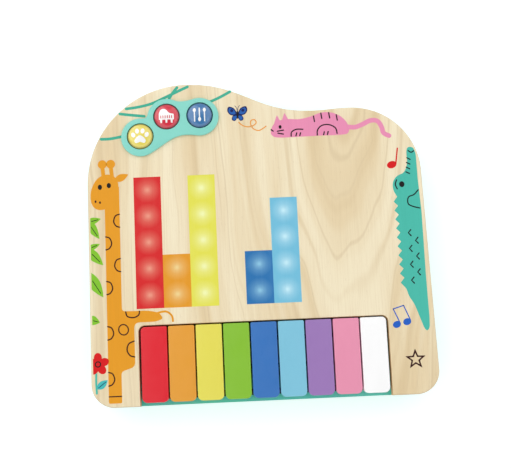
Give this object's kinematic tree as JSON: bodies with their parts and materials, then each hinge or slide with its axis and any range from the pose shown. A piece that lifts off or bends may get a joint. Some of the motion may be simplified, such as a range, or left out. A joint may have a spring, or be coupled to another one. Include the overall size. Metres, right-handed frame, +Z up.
{
  "type": "toy electronic keyboard",
  "caption": "Tabletop toy keyboard shaped like a grand piano seen from above: wooden face, coloured hinged keys, dome buttons and lights that shine through the face.",
  "frame": {"origin": "centre of the footprint, on the surface the feet stand on", "axes": "+X along the keyboard towards the high keys, +Y from the keys to the curved rear edge, +Z up"},
  "size_m": [0.296, 0.28, 0.0423],
  "materials": {
    "plywood": "pale plywood, satin lacquer",
    "film": "thin diffusing film",
    "white_plastic": "moulded, matt",
    "circuit_board": "green solder mask",
    "teal_plastic": "moulded, fine texture",
    "mint_plastic": "moulded, satin",
    "rubber": "soft, matt",
    "black_plastic": "moulded, matt",
    "felt": "pressed felt",
    "silicone": "soft, translucent",
    "steel": "plated",
    "cone_paper": "pressed pulp",
    "cell_wrap": "shrink sleeve",
    "lead_sleeve": "flexible sleeve",
    "key_1_red": "moulded, satin",
    "key_2_orange": "moulded, satin",
    "key_3_yellow": "moulded, satin",
    "key_4_green": "moulded, satin",
    "key_5_blue": "moulded, satin",
    "key_6_sky": "moulded, satin",
    "key_7_violet": "moulded, satin",
    "key_8_pink": "moulded, satin",
    "key_9_white": "moulded, satin",
    "button_animals": "polished dome",
    "button_piano": "polished dome",
    "button_mallets": "polished dome"
  },
  "bodies": {
    "housing": {"face_board": "plywood", "colour_film": "film", "light_grid": "white_plastic", "light_board": "circuit_board", "tray": "teal_plastic", "housing_screw_1": "steel", "housing_screw_2": "steel", "housing_screw_3": "steel", "housing_screw_4": "steel", "housing_screw_5": "steel", "housing_screw_6": "steel", "foot_front_left": "rubber", "foot_front_right": "rubber", "foot_rear_left": "rubber", "foot_rear_right": "rubber", "key_pivot_rod": "steel", "key_pivot_keeper": "black_plastic", "key_felt": "felt", "key_contact_mat": "silicone", "key_contact_board": "circuit_board", "button_panel": "mint_plastic", "button_contact_mat": "silicone", "button_contact_board": "circuit_board", "speaker_gasket": "felt", "speaker_frame": "steel", "speaker_cone": "cone_paper", "speaker_magnet": "steel", "speaker_clamp": "black_plastic", "speaker_screw_left": "steel", "speaker_screw_right": "steel", "battery_1": "cell_wrap", "battery_2": "cell_wrap", "battery_3": "cell_wrap", "contact_positive": "steel", "contact_left_bridge": "steel", "contact_right_bridge": "steel", "contact_negative": "steel", "main_board": "circuit_board", "main_board_screw_left": "steel", "main_board_screw_right": "steel", "switch_body": "black_plastic", "speaker_lead": "lead_sleeve", "battery_lead": "lead_sleeve"},
    "key_1_red": {"key_1_red": "key_1_red"},
    "key_2_orange": {"key_2_orange": "key_2_orange"},
    "key_3_yellow": {"key_3_yellow": "key_3_yellow"},
    "key_4_green": {"key_4_green": "key_4_green"},
    "key_5_blue": {"key_5_blue": "key_5_blue"},
    "key_6_sky": {"key_6_sky": "key_6_sky"},
    "key_7_violet": {"key_7_violet": "key_7_violet"},
    "key_8_pink": {"key_8_pink": "key_8_pink"},
    "key_9_white": {"key_9_white": "key_9_white"},
    "button_animals": {"button_animals": "button_animals"},
    "button_piano": {"button_piano": "button_piano"},
    "button_mallets": {"button_mallets": "button_mallets"},
    "door": {"battery_door": "teal_plastic", "battery_door_screw": "steel"},
    "power_slide": {"switch_slide": "black_plastic"}
  },
  "joints": [
    {"name": "key_1_red_press", "type": "hinge", "parent": "housing", "child": "key_1_red", "pos_m": [-0.094, -0.064, 0.023], "axis": [1, 0, 0], "range_deg": [0, 3], "stiffness_Nm_per_rad": 0.4, "springref_deg": -4.58, "deforming": ["key_contact_mat"]},
    {"name": "key_2_orange_press", "type": "hinge", "parent": "housing", "child": "key_2_orange", "pos_m": [-0.0705, -0.064, 0.023], "axis": [1, 0, 0], "range_deg": [0, 3], "stiffness_Nm_per_rad": 0.4, "springref_deg": -4.58, "deforming": ["key_contact_mat"]},
    {"name": "key_3_yellow_press", "type": "hinge", "parent": "housing", "child": "key_3_yellow", "pos_m": [-0.047, -0.064, 0.023], "axis": [1, 0, 0], "range_deg": [0, 3], "stiffness_Nm_per_rad": 0.4, "springref_deg": -4.58, "deforming": ["key_contact_mat"]},
    {"name": "key_4_green_press", "type": "hinge", "parent": "housing", "child": "key_4_green", "pos_m": [-0.0235, -0.064, 0.023], "axis": [1, 0, 0], "range_deg": [0, 3], "stiffness_Nm_per_rad": 0.4, "springref_deg": -4.58, "deforming": ["key_contact_mat"]},
    {"name": "key_5_blue_press", "type": "hinge", "parent": "housing", "child": "key_5_blue", "pos_m": [0, -0.064, 0.023], "axis": [1, 0, 0], "range_deg": [0, 3], "stiffness_Nm_per_rad": 0.4, "springref_deg": -4.58, "deforming": ["key_contact_mat"]},
    {"name": "key_6_sky_press", "type": "hinge", "parent": "housing", "child": "key_6_sky", "pos_m": [0.0235, -0.064, 0.023], "axis": [1, 0, 0], "range_deg": [0, 3], "stiffness_Nm_per_rad": 0.4, "springref_deg": -4.58, "deforming": ["key_contact_mat"]},
    {"name": "key_7_violet_press", "type": "hinge", "parent": "housing", "child": "key_7_violet", "pos_m": [0.047, -0.064, 0.023], "axis": [1, 0, 0], "range_deg": [0, 3], "stiffness_Nm_per_rad": 0.4, "springref_deg": -4.58, "deforming": ["key_contact_mat"]},
    {"name": "key_8_pink_press", "type": "hinge", "parent": "housing", "child": "key_8_pink", "pos_m": [0.0705, -0.064, 0.023], "axis": [1, 0, 0], "range_deg": [0, 3], "stiffness_Nm_per_rad": 0.4, "springref_deg": -4.58, "deforming": ["key_contact_mat"]},
    {"name": "key_9_white_press", "type": "hinge", "parent": "housing", "child": "key_9_white", "pos_m": [0.094, -0.064, 0.023], "axis": [1, 0, 0], "range_deg": [0, 3], "stiffness_Nm_per_rad": 0.4, "springref_deg": -4.58, "deforming": ["key_contact_mat"]},
    {"name": "button_animals_press", "type": "slide", "parent": "housing", "child": "button_animals", "axis": [0, 0, -1], "range_m": [0, 0.0012], "stiffness_N_per_m": 300, "springref_m": -0.001, "deforming": ["button_contact_mat"]},
    {"name": "button_piano_press", "type": "slide", "parent": "housing", "child": "button_piano", "axis": [0, 0, -1], "range_m": [0, 0.0012], "stiffness_N_per_m": 300, "springref_m": -0.001, "deforming": ["button_contact_mat"]},
    {"name": "button_mallets_press", "type": "slide", "parent": "housing", "child": "button_mallets", "axis": [0, 0, -1], "range_m": [0, 0.0012], "stiffness_N_per_m": 300, "springref_m": -0.001, "deforming": ["button_contact_mat"]},
    {"name": "door_tilt", "type": "hinge", "parent": "housing", "child": "door", "pos_m": [-0.003, 0.002, 0.002], "axis": [0, 1, 0], "range_deg": [0, 25]},
    {"name": "power_select", "type": "slide", "parent": "housing", "child": "power_slide", "axis": [1, 0, 0], "range_m": [-0.004, 0.004]}
  ]
}
